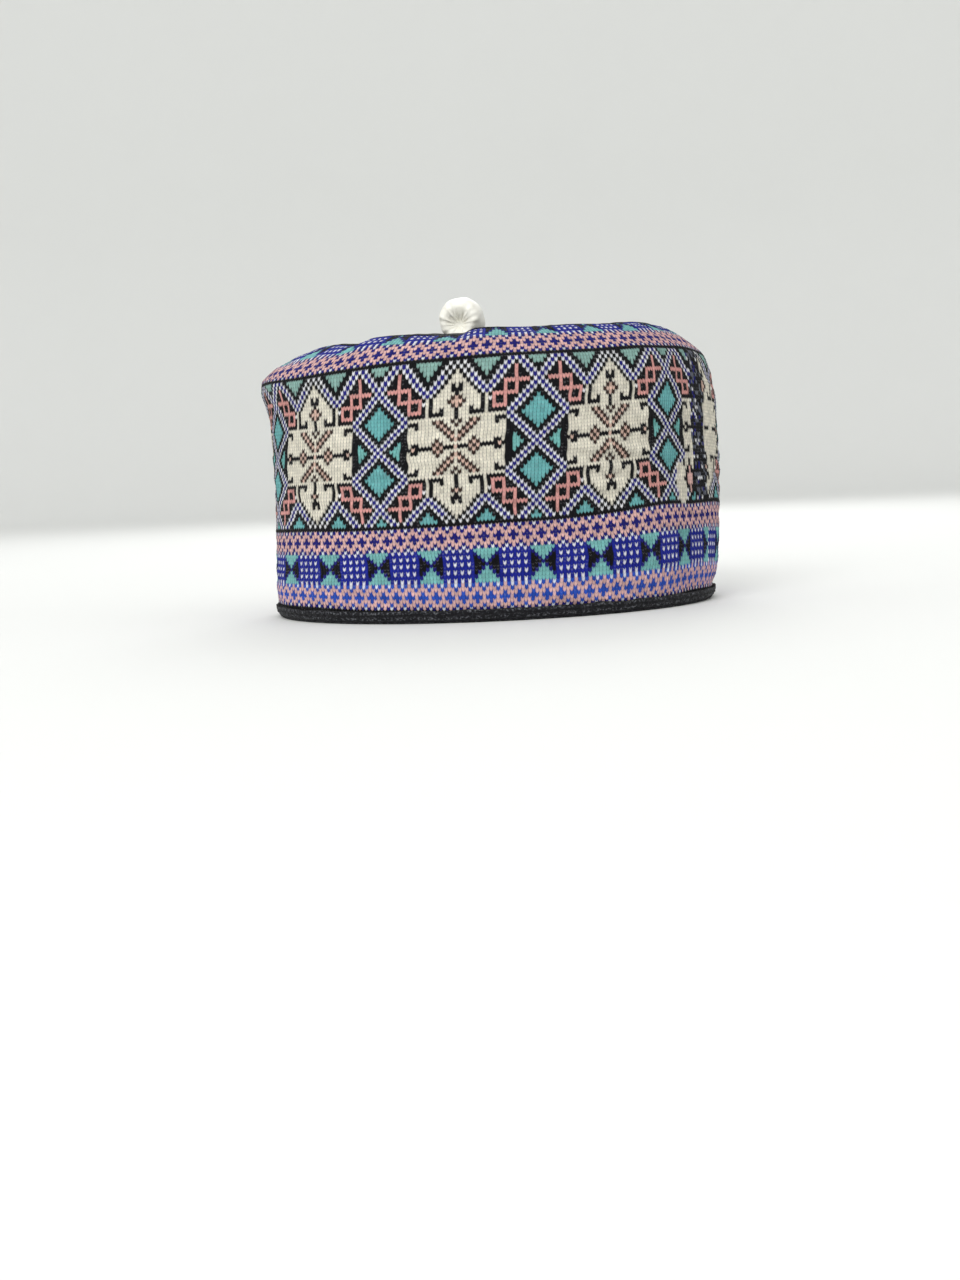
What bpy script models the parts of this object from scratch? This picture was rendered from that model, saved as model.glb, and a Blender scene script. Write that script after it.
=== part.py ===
"""A Hausa cap: a tall stiff band of patterned knit that folds over a soft shoulder, a black crown
panel sewn inside it, a black binding round the rim and a stuffed white stub on the crown.

Metres, +Z up. The rim rests on Z = 0, the origin is the middle of the rim, +X is the forehead and
-Y is the wearer's right. An angle is the oval's own angle, from +X towards +Y.
"""

import math

import bmesh
import bpy
import numpy as np

# The head that the cap fits, measured inside the rim, and the oval's width over its length
HEAD_GIRTH = 0.5715
WIDTH_TO_LENGTH = 0.84

# The band
BAND_WALL = 0.0024
FOLD_HEIGHT = 0.1100
SHOULDER_RISE = 0.0132
SHOULDER_INSET = 0.0200
BAND_BULGE = 0.0040
FRONT_DIP = 0.0055
FRONT_DIP_REACH_DEG = 28
DENT_DEPTH = 0.0018
DENT_EASE = 1.5

# The binding round the rim
BINDING_WALL = 0.0009
BINDING_OUTER_HEIGHT = 0.0068
BINDING_INNER_HEIGHT = 0.0085
BINDING_FLOOR = 0.0013
BINDING_CURL = 0.0020
BINDING_CURL_EASE = 1.3

# The crown panel
CROWN_WALL = 0.0020
CROWN_SAG = 0.0006
CROWN_ROLL = 0.0014
CROWN_ROLL_SHARE = 0.24
CROWN_RING_EASE = 1.25
CROWN_LAST_RING = 0.985
DENT_END_SHARE = 0.05

# The white stub on the crown
STUB_RADIUS = 0.0092
STUB_LENGTH = 0.0280
STUB_NECK_RADIUS = 0.0062
STUB_DIMPLE_DEPTH = 0.0050
STUB_PLEAT_DEPTH = 0.0006
STUB_SETBACK = 0.0080
STUB_LEAN_DEG = -108
STUB_CLEAR_OF_CROWN = 1.06

# The gap that keeps sewn pieces apart
SEAM_GAP = 0.0003

AROUND = 72
STEPS_PER_STATION = 2
CROWN_RINGS = 9
STUB_SIDES = 32
STUB_PLEATS = 8
STUB_PLEATS_START = 0.86
STUB_PLEATS_GROW = 0.10
STUB_PLEATS_WIDEST = 1.15
STUB_WAY_STEP = 0.02

# One row for each station of the band, from its lower edge to the crown seam. cloth is the share of
# the band's cloth. Heights to the fold are shares of FOLD_HEIGHT and those past it add shares of
# SHOULDER_RISE. bulge is a share of BAND_BULGE and inset a share of SHOULDER_INSET.
BAND_COLUMNS = (
    "cloth",
    "side_height", "side_rise", "side_bulge", "side_inset",
    "front_height", "front_rise", "front_bulge", "front_inset",
    "back_height", "back_rise", "back_bulge", "back_inset",
)
BINDING_TOP_STATION, LOWER_LINE_STATION, FOLD_STATION = 1, 3, 6
BAND_STATIONS = (
    (0.000, 0.017, 0.00, 0.00, 0.00, 0.017, 0.00, 0.00, 0.00, 0.017, 0.00, 0.00, 0.00),
    (0.055, 0.069, 0.00, 0.00, 0.00, 0.069, 0.00, 0.00, 0.00, 0.069, 0.00, 0.00, 0.00),
    (0.100, 0.124, 0.00, 0.08, 0.00, 0.132, 0.00, 0.20, 0.00, 0.120, 0.00, -0.15, 0.00),
    (0.310, 0.387, 0.00, 0.28, 0.00, 0.445, 0.00, 0.70, 0.00, 0.360, 0.00, -0.48, 0.00),
    (0.560, 0.690, 0.00, 0.33, 0.00, 0.740, 0.00, 0.68, 0.00, 0.645, 0.00, -0.62, 0.00),
    (0.720, 0.872, 0.00, 0.10, 0.05, 0.923, 0.00, 0.50, 0.03, 0.827, 0.00, -0.40, 0.00),
    (0.835, 1.000, 0.00, 0.00, 0.20, 1.050, 0.00, 0.10, 0.17, 0.957, 0.00, 0.40, 0.02),
    (0.880, 1.000, 0.32, 0.00, 0.35, 1.050, 0.30, 0.00, 0.35, 0.957, 0.28, 0.25, 0.10),
    (0.920, 1.000, 0.61, 0.00, 0.53, 1.050, 0.54, 0.00, 0.57, 0.957, 0.58, 0.10, 0.34),
    (0.960, 1.000, 0.82, 0.00, 0.75, 1.050, 0.76, 0.00, 0.83, 0.957, 0.86, 0.00, 0.66),
    (1.000, 1.000, 0.95, 0.00, 1.00, 1.050, 0.93, 0.00, 1.12, 0.957, 1.07, 0.00, 1.04),
)

# One row for each soft dent in the shoulder: where, how far it reaches towards the back and towards
# the forehead, and how deep it is
DENT_COLUMNS = ("angle_deg", "reach_back_deg", "reach_front_deg", "depth_share")
SHOULDER_DENTS = (
    (-104, 13, 3, 1.60),
    (-137, 8, 3, 1.10),
    (-84, 7, 10, 0.30),
    (-58, 9, 9, 0.35),
    (-16, 8, 8, 0.50),
    (28, 12, 7, 0.80),
    (73, 5, 11, 1.10),
    (121, 9, 9, 0.60),
    (162, 4, 12, 0.90),
)

# One row for each corner of the binding's section, from its outer top edge round the outside,
# under the rim and up the inside. across counts from the outer face (0) to the inner face (1), and
# curl is the share of BINDING_CURL by which that corner is drawn in.
BINDING_COLUMNS = ("across", "up", "height_of", "curl")
BINDING_OUTSIDE = (
    (0.00, 1.00, "outer", 0.00),
    (-0.03, 0.60, "outer", 0.25),
    (0.03, 0.22, "outer", 0.70),
    (0.24, 0.00, "outer", 1.00),
    (0.76, 0.00, "inner", 1.00),
    (0.97, 0.18, "inner", 0.75),
    (1.03, 0.55, "inner", 0.30),
    (1.00, 1.00, "inner", 0.00),
)

# One row for each knot of the stub's centre line, which stands up from the crown and then flops
# over. share is its place along the line. reach and lift are shares of STUB_LENGTH. lying is 1 where
# the stub's side rests on the crown.
STUB_LINE_COLUMNS = ("share", "reach", "lift", "lying")
STUB_LINE = (
    (0.00, 0.00, 0.00, 0.0),
    (0.26, 0.06, 0.24, 0.0),
    (0.62, 0.36, 0.05, 1.0),
    (1.00, 0.84, 0.00, 1.0),
)

# One row for each ring of the stub, from its sewn foot to the middle of its gathered end.
# along is the share of STUB_LENGTH, radius the share of STUB_RADIUS.
STUB_COLUMNS = ("along", "radius", "dimple")
STUB_RINGS = (
    (0.000, 0.60, 0.0),
    (0.050, 0.74, 0.0),
    (0.160, 0.78, 0.0),
    (0.300, 0.86, 0.0),
    (0.450, 0.94, 0.0),
    (0.600, 0.99, 0.0),
    (0.750, 1.01, 0.0),
    (0.860, 1.00, 0.0),
    (0.940, 0.93, 0.0),
    (0.985, 0.81, 0.0),
    (1.000, 0.66, 0.0),
    (1.000, 0.52, 0.12),
    (1.000, 0.39, 0.36),
    (1.000, 0.27, 0.70),
    (1.000, 0.16, 1.00),
)


def column(table, names, name):
    """One named column of a table, as an array."""
    place = names.index(name)
    return np.array([row[place] for row in table], float)


def eased(places, values, at):
    """A smooth curve through the values at those places: cubic steps with averaged slopes."""
    slopes = np.gradient(values, places)
    step = np.clip(np.searchsorted(places, at, side="right") - 1, 0, len(places) - 2)
    width = places[step + 1] - places[step]
    t = (at - places[step]) / width
    return (
        values[step] * (1 + 2 * t) * (1 - t) ** 2
        + slopes[step] * width * t * (1 - t) ** 2
        + values[step + 1] * t * t * (3 - 2 * t)
        + slopes[step + 1] * width * t * t * (t - 1)
    )


def binding_thickness():
    """From the binding's outer face to its inner face: two plies round the band's edge."""
    return 2 * BINDING_WALL + 2 * SEAM_GAP + BAND_WALL


def rim_half_sizes():
    """Half the length and half the width over the binding's outer face, from the girth inside."""
    inside_length = HEAD_GIRTH / (2 * math.pi * math.sqrt((1 + WIDTH_TO_LENGTH**2) / 2))
    wall = binding_thickness()
    return inside_length + wall, inside_length * WIDTH_TO_LENGTH + wall


def binding_curl_at(height):
    """How far the rim is curled in at a height, as a share of BINDING_CURL."""
    return np.clip(1 - height / BINDING_OUTER_HEIGHT, 0, 1) ** BINDING_CURL_EASE


def dent_at(angles):
    """How deep the shoulder is dented at each angle, in metres."""
    depth = np.zeros_like(angles)
    for angle_deg, reach_back_deg, reach_front_deg, share in SHOULDER_DENTS:
        away = np.degrees(np.angle(np.exp(1j * (angles - math.radians(angle_deg)))))
        towards_front = away * np.sign(-math.sin(math.radians(angle_deg)))
        reach = np.where(towards_front > 0, reach_front_deg, reach_back_deg)
        depth += share * DENT_DEPTH * np.exp(-((away / reach) ** 2))
    return depth


def band_outer(angles, cloth):
    """Points of the band's outer face. angles and cloth broadcast; the last axis is x, y, z."""
    places = column(BAND_STATIONS, BAND_COLUMNS, "cloth")
    half_length, half_width = rim_half_sizes()
    ways = {
        "side": np.sin(angles) ** 2,
        "front": np.maximum(np.cos(angles), 0) ** 2,
        "back": np.maximum(-np.cos(angles), 0) ** 2,
    }
    out, height = 0.0, 0.0
    for way, weight in ways.items():
        part = {
            what: eased(places, column(BAND_STATIONS, BAND_COLUMNS, f"{way}_{what}"), cloth)
            for what in ("height", "rise", "bulge", "inset")
        }
        out = out + weight * (part["bulge"] * BAND_BULGE - part["inset"] * SHOULDER_INSET)
        height = height + weight * (part["height"] * FOLD_HEIGHT + part["rise"] * SHOULDER_RISE)
    # Under the binding the band is drawn in, so that the binding lies flush with it
    top_of_binding = places[BINDING_TOP_STATION]
    let_out = np.clip((cloth - top_of_binding) / top_of_binding, 0, 1)
    out = out - (BINDING_WALL + SEAM_GAP) * (1 - let_out)
    out = out - BINDING_CURL * binding_curl_at(height)
    # The rows of knit dip towards the middle of the forehead
    away = np.degrees(np.angle(np.exp(1j * angles))) / FRONT_DIP_REACH_DEG
    height = height - FRONT_DIP * np.exp(-(away**2)) * np.clip(cloth / places[LOWER_LINE_STATION], 0, 1)
    near_seam = np.clip((cloth - places[FOLD_STATION]) / (1 - places[FOLD_STATION]), 0, 1)
    height = height - dent_at(angles) * near_seam**DENT_EASE
    return np.stack(
        np.broadcast_arrays(
            (half_length + out) * np.cos(angles), (half_width + out) * np.sin(angles), height
        ),
        axis=-1,
    )


def surface_normals(points):
    """Outward normals of a grid of points: axis 0 goes round, axis 1 goes up."""
    round_way = np.roll(points, -1, axis=0) - np.roll(points, 1, axis=0)
    up_way = np.gradient(points, axis=1)
    normals = np.cross(round_way, up_way)
    return normals / np.linalg.norm(normals, axis=-1, keepdims=True)


def whole_turn(count):
    return np.arange(count) * 2 * math.pi / count


def band_grids():
    """The outer and inner faces of the band as grids of points."""
    places = column(BAND_STATIONS, BAND_COLUMNS, "cloth")
    steps = np.linspace(0, len(places) - 1, (len(places) - 1) * STEPS_PER_STATION + 1)
    cloth = np.interp(steps, np.arange(len(places)), places)
    outer = band_outer(whole_turn(AROUND)[:, None], cloth[None, :])
    return outer, outer - BAND_WALL * surface_normals(outer)


def crown_grids():
    """The upper and under faces of the crown panel, from its seam (first ring) to its middle."""
    outer, inner = band_grids()
    seam_way = outer[:, -1] - outer[:, -2]
    seam_way /= np.linalg.norm(seam_way, axis=1, keepdims=True)
    edge = outer[:, -1] + seam_way * SEAM_GAP
    under_edge = edge + (inner[:, -1] - outer[:, -1]) * min(1.0, CROWN_WALL / BAND_WALL)
    middle = np.array([0.0, 0.0, edge[:, 2].mean()])
    inward = np.linspace(0, 1, CROWN_RINGS) ** CROWN_RING_EASE
    inward[-1] = CROWN_LAST_RING
    upper = edge[:, None] + (middle - edge)[:, None] * inward[None, :, None]
    # The panel rolls up just inside its seam, then sags a little to its middle
    roll = CROWN_ROLL * np.sin(np.pi * np.clip(inward / CROWN_ROLL_SHARE, 0, 1)) ** 2
    sag = CROWN_SAG * (1 - (1 - inward) ** 2)
    # A dent in the band's edge ends soon after the seam, so that the panel stands above it there
    level = (1 - inward) * (1 - np.exp(-inward / DENT_END_SHARE))
    upper[..., 2] += roll - sag + dent_at(whole_turn(AROUND))[:, None] * level
    under = upper - np.array([0, 0, CROWN_WALL])
    under[:, 0] = under_edge
    return upper, under


def crown_height_at_middle():
    """The height of the crown's upper face at its middle."""
    return float(crown_grids()[0][:, -1, 2].mean())


def clear_scene():
    for thing in list(bpy.data.objects):
        bpy.data.objects.remove(thing, do_unlink=True)


def make_material(name, colour, roughness, metallic=0.0):
    material = bpy.data.materials.new(name)
    material.use_nodes = True
    shader = material.node_tree.nodes["Principled BSDF"]
    shader.inputs["Base Color"].default_value = (*colour, 1)
    shader.inputs["Roughness"].default_value = roughness
    shader.inputs["Metallic"].default_value = metallic
    return material


def add_mesh(name, points, faces, material):
    """A named object from points and faces, with its normals pointing out."""
    mesh = bpy.data.meshes.new(name)
    mesh.from_pydata([tuple(p) for p in points], [], [tuple(f) for f in faces])
    work = bmesh.new()
    work.from_mesh(mesh)
    bmesh.ops.recalc_face_normals(work, faces=work.faces)
    work.to_mesh(mesh)
    work.free()
    mesh.shade_smooth()
    mesh.materials.append(material)
    made = bpy.data.objects.new(name, mesh)
    bpy.context.scene.collection.objects.link(made)
    return made


def ring_faces(rings, sides, closed=False):
    """Quads between neighbouring rings of the same number of sides."""
    faces = []
    for ring in range(rings if closed else rings - 1):
        here, there = ring * sides, (ring + 1) % rings * sides
        for side in range(sides):
            onward = (side + 1) % sides
            faces.append((here + side, here + onward, there + onward, there + side))
    return faces


def loop_of_sections(name, sections, material):
    """A closed ring whose section is a closed outline: sections has (around, corner, xyz)."""
    around, corners = sections.shape[:2]
    faces = ring_faces(around, corners, closed=True)
    return add_mesh(name, sections.reshape(-1, 3), faces, material)


def build_band(material):
    outer, inner = band_grids()
    return loop_of_sections("band", np.concatenate([outer, inner[:, ::-1]], axis=1), material)


def build_binding(material):
    """The folded tape round the rim: its outline follows the band's edge inside it."""
    half_length, half_width = rim_half_sizes()
    thick = binding_thickness()
    tall = {"outer": BINDING_OUTER_HEIGHT, "inner": BINDING_INNER_HEIGHT}
    outline = [
        (-across * thick - curl * BINDING_CURL, up * tall[side])
        for across, up, side, curl in BINDING_OUTSIDE
    ]
    slot = [
        (BINDING_WALL - thick, height)
        for height in (BINDING_INNER_HEIGHT, BINDING_OUTER_HEIGHT, BINDING_FLOOR)
    ]
    slot += [(-BINDING_WALL, height) for height in (BINDING_FLOOR, BINDING_OUTER_HEIGHT)]
    outline += [(x - BINDING_CURL * float(binding_curl_at(y)), y) for x, y in slot]
    outline = np.array(outline)
    angles = whole_turn(AROUND)[:, None]
    sections = np.stack(
        np.broadcast_arrays(
            (half_length + outline[None, :, 0]) * np.cos(angles),
            (half_width + outline[None, :, 0]) * np.sin(angles),
            outline[None, :, 1],
        ),
        axis=-1,
    )
    return loop_of_sections("rim_binding", sections, material)


def build_crown(material):
    """The crown panel: its upper face, the seam edge and its under face, closed at both middles."""
    upper, under = crown_grids()
    rings = np.concatenate([upper[:, ::-1], under], axis=1).transpose(1, 0, 2)
    count = rings.shape[0]
    points = np.concatenate([rings.reshape(-1, 3), rings[0].mean(0)[None], rings[-1].mean(0)[None]])
    faces = ring_faces(count, AROUND)
    top, bottom, last = count * AROUND, count * AROUND + 1, (count - 1) * AROUND
    for side in range(AROUND):
        onward = (side + 1) % AROUND
        faces.append((onward, side, top))
        faces.append((last + side, last + onward, bottom))
    return add_mesh("crown", points, faces, material)


def stub_line(shares):
    """The stub's centre line: it stands up from the crown, then flops over towards -Y and back."""
    knots = column(STUB_LINE, STUB_LINE_COLUMNS, "share")
    lift = column(STUB_LINE, STUB_LINE_COLUMNS, "lift") * STUB_LENGTH
    lying = column(STUB_LINE, STUB_LINE_COLUMNS, "lying") * STUB_RADIUS * STUB_CLEAR_OF_CROWN
    height = crown_height_at_middle() + SEAM_GAP + lift + lying
    out = eased(knots, column(STUB_LINE, STUB_LINE_COLUMNS, "reach") * STUB_LENGTH, shares)
    lean = math.radians(STUB_LEAN_DEG)
    return np.stack(
        [
            -STUB_SETBACK + out * math.cos(lean),
            out * math.sin(lean),
            eased(knots, height, shares),
        ],
        axis=-1,
    )


def build_stub(material):
    """Rings of the table swept along the stub's line, with the gathered end drawn inwards."""
    along = column(STUB_RINGS, STUB_COLUMNS, "along")
    radius = column(STUB_RINGS, STUB_COLUMNS, "radius") * STUB_RADIUS
    dimple = column(STUB_RINGS, STUB_COLUMNS, "dimple") * STUB_DIMPLE_DEPTH
    radius[0] = STUB_NECK_RADIUS
    centres = stub_line(along)
    onward, before = np.minimum(along + STUB_WAY_STEP, 1), np.maximum(along - STUB_WAY_STEP, 0)
    ways = stub_line(onward) - stub_line(before)
    ways /= np.linalg.norm(ways, axis=1, keepdims=True)
    ways[0] = (0, 0, 1)
    across = np.cross(ways, (1.0, 0.0, 0.0))
    across /= np.linalg.norm(across, axis=1, keepdims=True)
    beside = np.cross(ways, across)
    angles = whole_turn(STUB_SIDES)
    # The gathered end is pleated: its ridges and valleys alternate round the dimple
    near_end = np.clip((along - STUB_PLEATS_START) / STUB_PLEATS_GROW, 0, 1)
    gathered = near_end * np.clip(STUB_PLEATS_WIDEST - radius / STUB_RADIUS, 0, 1)
    pleats = STUB_PLEAT_DEPTH * gathered[:, None] * np.cos(STUB_PLEATS * angles)[None, :]
    rings = (
        (centres - ways * dimple[:, None])[:, None]
        + pleats[:, :, None] * ways[:, None]
        + radius[:, None, None] * np.cos(angles)[None, :, None] * across[:, None]
        + radius[:, None, None] * np.sin(angles)[None, :, None] * beside[:, None]
    )
    count = len(rings)
    points = np.concatenate([rings.reshape(-1, 3), centres[:1], rings[-1].mean(0)[None]])
    faces = ring_faces(count, STUB_SIDES)
    foot, tip, last = count * STUB_SIDES, count * STUB_SIDES + 1, (count - 1) * STUB_SIDES
    for side in range(STUB_SIDES):
        onward = (side + 1) % STUB_SIDES
        faces.append((onward, side, foot))
        faces.append((last + side, last + onward, tip))
    return add_mesh("stub", points, faces, material)


def main():
    clear_scene()
    patterned = make_material("patterned_knit", (0.45, 0.44, 0.47), 0.9)
    black = make_material("black_knit", (0.02, 0.02, 0.025), 0.92)
    white = make_material("white_satin", (0.85, 0.85, 0.82), 0.45)
    build_band(patterned)
    build_binding(black)
    build_crown(black)
    build_stub(white)


main()
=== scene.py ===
import math

import bpy
import numpy as np
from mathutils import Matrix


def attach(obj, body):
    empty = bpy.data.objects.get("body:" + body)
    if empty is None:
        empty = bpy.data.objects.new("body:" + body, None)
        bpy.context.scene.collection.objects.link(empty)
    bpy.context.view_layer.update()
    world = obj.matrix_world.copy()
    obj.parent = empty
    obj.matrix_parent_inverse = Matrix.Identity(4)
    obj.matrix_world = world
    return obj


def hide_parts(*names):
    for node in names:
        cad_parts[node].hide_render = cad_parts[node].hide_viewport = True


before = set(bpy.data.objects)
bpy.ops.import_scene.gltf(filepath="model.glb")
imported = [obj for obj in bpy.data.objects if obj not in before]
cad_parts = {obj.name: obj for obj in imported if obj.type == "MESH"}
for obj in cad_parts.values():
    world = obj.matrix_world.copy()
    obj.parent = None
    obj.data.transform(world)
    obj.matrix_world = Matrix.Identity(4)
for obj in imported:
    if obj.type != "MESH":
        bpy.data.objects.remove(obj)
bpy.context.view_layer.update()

print("Cap: frame loaded")


# Values here repeat the ones that the solids were cut to, in metres
capSizes = {
    "headGirth": 0.5715, "widthToLength": 0.84,
    "bandWall": 0.0024, "foldHeight": 0.1100, "shoulderRise": 0.0132, "shoulderInset": 0.0200,
    "bandBulge": 0.0040, "frontDip": 0.0055, "frontDipReach": 28, "dentDepth": 0.0018,
    "tapeWall": 0.0009, "tapeOuterHeight": 0.0068, "tapeInnerHeight": 0.0085,
    "tapeFloor": 0.0013, "tapeCurl": 0.0020,
    "crownWall": 0.0020, "crownSag": 0.0006,
    "stubRadius": 0.0096, "stubLength": 0.0280, "stubDimple": 0.0036,
    "stubSetback": 0.0080, "seamGap": 0.0003,
}

# The band's stations: cloth, then height, rise, bulge and inset at the side, front and back
bandStations = np.array([
    (0.000, 0.017, 0.00, 0.00, 0.00, 0.017, 0.00, 0.00, 0.00, 0.017, 0.00, 0.00, 0.00),
    (0.055, 0.069, 0.00, 0.00, 0.00, 0.069, 0.00, 0.00, 0.00, 0.069, 0.00, 0.00, 0.00),
    (0.100, 0.124, 0.00, 0.08, 0.00, 0.132, 0.00, 0.20, 0.00, 0.120, 0.00, -0.15, 0.00),
    (0.310, 0.387, 0.00, 0.28, 0.00, 0.445, 0.00, 0.70, 0.00, 0.360, 0.00, -0.48, 0.00),
    (0.560, 0.690, 0.00, 0.33, 0.00, 0.740, 0.00, 0.68, 0.00, 0.645, 0.00, -0.62, 0.00),
    (0.720, 0.872, 0.00, 0.10, 0.05, 0.923, 0.00, 0.50, 0.03, 0.827, 0.00, -0.40, 0.00),
    (0.835, 1.000, 0.00, 0.00, 0.20, 1.050, 0.00, 0.10, 0.17, 0.957, 0.00, 0.40, 0.02),
    (0.880, 1.000, 0.32, 0.00, 0.35, 1.050, 0.30, 0.00, 0.35, 0.957, 0.28, 0.25, 0.10),
    (0.920, 1.000, 0.61, 0.00, 0.53, 1.050, 0.54, 0.00, 0.57, 0.957, 0.58, 0.10, 0.34),
    (0.960, 1.000, 0.82, 0.00, 0.75, 1.050, 0.76, 0.00, 0.83, 0.957, 0.86, 0.00, 0.66),
    (1.000, 1.000, 0.95, 0.00, 1.00, 1.050, 0.93, 0.00, 1.12, 0.957, 1.07, 0.00, 1.04),
])

# Soft dents in the shoulder: angle, reach to the back, reach to the front, depth share
shoulderDents = (
    (-104, 13, 3, 1.60), (-137, 8, 3, 1.10), (-84, 7, 10, 0.30), (-58, 9, 9, 0.35),
    (-16, 8, 8, 0.50), (28, 12, 7, 0.80), (73, 5, 11, 1.10), (121, 9, 9, 0.60), (162, 4, 12, 0.90),
)


def eased(places, values, at):
    # A smooth curve through the values: cubic steps with averaged slopes
    slopes = np.gradient(values, places)
    step = np.clip(np.searchsorted(places, at, side="right") - 1, 0, len(places) - 2)
    width = places[step + 1] - places[step]
    t = (at - places[step]) / width
    return (values[step] * (1 + 2 * t) * (1 - t) ** 2 + slopes[step] * width * t * (1 - t) ** 2
            + values[step + 1] * t * t * (3 - 2 * t) + slopes[step + 1] * width * t * t * (t - 1))


def tapeThickness():
    return 2 * capSizes["tapeWall"] + 2 * capSizes["seamGap"] + capSizes["bandWall"]


def rimHalfSizes():
    ratio = capSizes["widthToLength"]
    inside = capSizes["headGirth"] / (2 * math.pi * math.sqrt((1 + ratio ** 2) / 2))
    return inside + tapeThickness(), inside * ratio + tapeThickness()


def curlShare(height):
    return np.clip(1 - height / capSizes["tapeOuterHeight"], 0, 1) ** 1.3


def dentAt(angles):
    # Each dent is a bell with one reach towards the back and another towards the front
    depth = np.zeros_like(angles)
    for angle, reachBack, reachFront, share in shoulderDents:
        away = np.degrees(np.angle(np.exp(1j * (angles - math.radians(angle)))))
        towardsFront = away * np.sign(-math.sin(math.radians(angle)))
        reach = np.where(towardsFront > 0, reachFront, reachBack)
        depth += share * capSizes["dentDepth"] * np.exp(-((away / reach) ** 2))
    return depth


def bandOuter(angles, cloth):
    # Point of the band's outer face: the rim's oval, moved out by bulge less inset and up by
    # height plus rise, where side, front and back stations blend by sin2 and cos2 of the angle
    places = bandStations[:, 0]
    halfLength, halfWidth = rimHalfSizes()
    weights = (np.sin(angles) ** 2, np.maximum(np.cos(angles), 0) ** 2, np.maximum(-np.cos(angles), 0) ** 2)
    out, height = 0.0, 0.0
    for way, weight in enumerate(weights):
        tall, rise, bulge, inset = (eased(places, bandStations[:, 1 + 4 * way + k], cloth) for k in range(4))
        out = out + weight * (bulge * capSizes["bandBulge"] - inset * capSizes["shoulderInset"])
        height = height + weight * (tall * capSizes["foldHeight"] + rise * capSizes["shoulderRise"])
    letOut = np.clip((cloth - places[1]) / places[1], 0, 1)
    out = out - (capSizes["tapeWall"] + capSizes["seamGap"]) * (1 - letOut)
    out = out - capSizes["tapeCurl"] * curlShare(height)
    away = np.degrees(np.angle(np.exp(1j * angles))) / capSizes["frontDipReach"]
    height = height - capSizes["frontDip"] * np.exp(-(away ** 2)) * np.clip(cloth / places[3], 0, 1)
    nearSeam = np.clip((cloth - places[6]) / (1 - places[6]), 0, 1)
    height = height - dentAt(angles) * nearSeam ** 1.5
    return np.stack(np.broadcast_arrays(
        (halfLength + out) * np.cos(angles), (halfWidth + out) * np.sin(angles), height), axis=-1)


def bandNormal(angles, cloth):
    # Cross product of the steps round and up the smooth band
    step = 2e-3
    top, low = np.minimum(cloth + step, 1), np.maximum(cloth - step, 0)
    roundWay = bandOuter(angles + step, cloth) - bandOuter(angles - step, cloth)
    upWay = bandOuter(angles, top) - bandOuter(angles, low)
    normal = np.cross(roundWay, upWay)
    return normal / np.linalg.norm(normal, axis=-1, keepdims=True)


def softNoise(seed, x, y, waves=9, low=1.0, high=3.0):
    # A sum of a few seeded sine waves over x and y; x counts whole turns, so it closes round
    draw = np.random.default_rng(seed)
    total = 0.0
    for _ in range(waves):
        turns = int(draw.integers(int(low), int(high) + 1))
        total = total + draw.normal() * np.sin(
            2 * np.pi * (turns * x + draw.uniform(low, high) * y + draw.uniform()))
    return total / math.sqrt(waves)


def gridFaces(around, across, closeAcross=False):
    # Quads of a grid of points that closes round axis 0, numbered i * across + j
    i, j = np.meshgrid(np.arange(around), np.arange(across if closeAcross else across - 1), indexing="ij")
    nextI, nextJ = (i + 1) % around, (j + 1) % across
    here, onward = i * across, nextI * across
    return np.stack([here + j, onward + j, onward + nextJ, here + nextJ], axis=-1).reshape(-1, 4)


def putMesh(name, points, quads, fans, material):
    # Vertices, then four-sided faces, then any triangles, set as whole arrays
    mesh = bpy.data.meshes.new(name)
    corners = quads.reshape(-1)
    starts = np.arange(len(quads)) * 4
    if fans is not None:
        starts = np.concatenate([starts, len(corners) + np.arange(len(fans)) * 3])
        corners = np.concatenate([corners, fans.reshape(-1)])
    mesh.vertices.add(len(points))
    mesh.vertices.foreach_set("co", points.astype(np.float32).ravel())
    mesh.loops.add(len(corners))
    mesh.loops.foreach_set("vertex_index", corners.astype(np.int32))
    mesh.polygons.add(len(starts))
    mesh.polygons.foreach_set("loop_start", starts.astype(np.int32))
    mesh.update(calc_edges=True)
    mesh.validate()
    mesh.shade_smooth()
    made = bpy.data.objects.new(name, mesh)
    bpy.context.scene.collection.objects.link(made)
    mesh.materials.append(material)
    return made


def putUv(piece, name, places):
    # One UV place for each face corner
    layer = piece.data.uv_layers.new(name=name)
    layer.uv.foreach_set("vector", places.astype(np.float32).ravel())


def linear(colour):
    # sRGB from 0 to 255 made linear
    c = np.array(colour, float) / 255
    return np.where(c <= 0.04045, c / 12.92, ((c + 0.055) / 1.055) ** 2.4)


class Wire:
    # A node's output; the operators add Math nodes
    def __init__(self, sheet, socket):
        self.sheet, self.socket = sheet, socket

    def maths(self, operation, *others, clamp=False):
        return self.sheet.node("Math", {"operation": operation, "use_clamp": clamp},
                               dict(enumerate((self, *others))))

    def __add__(self, other): return self.maths("ADD", other)
    def __radd__(self, other): return self.maths("ADD", other)
    def __sub__(self, other): return self.maths("SUBTRACT", other)
    def __rsub__(self, other): return (self * -1) + other
    def __mul__(self, other): return self.maths("MULTIPLY", other)
    def __truediv__(self, other): return self.maths("DIVIDE", other)
    def __pow__(self, other): return self.maths("POWER", other)
    def __abs__(self): return self.maths("ABSOLUTE")
    def part(self): return self.maths("FRACT")
    def sine(self): return self.maths("SINE")
    def between(self): return self.maths("ADD", 0.0, clamp=True)


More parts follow.
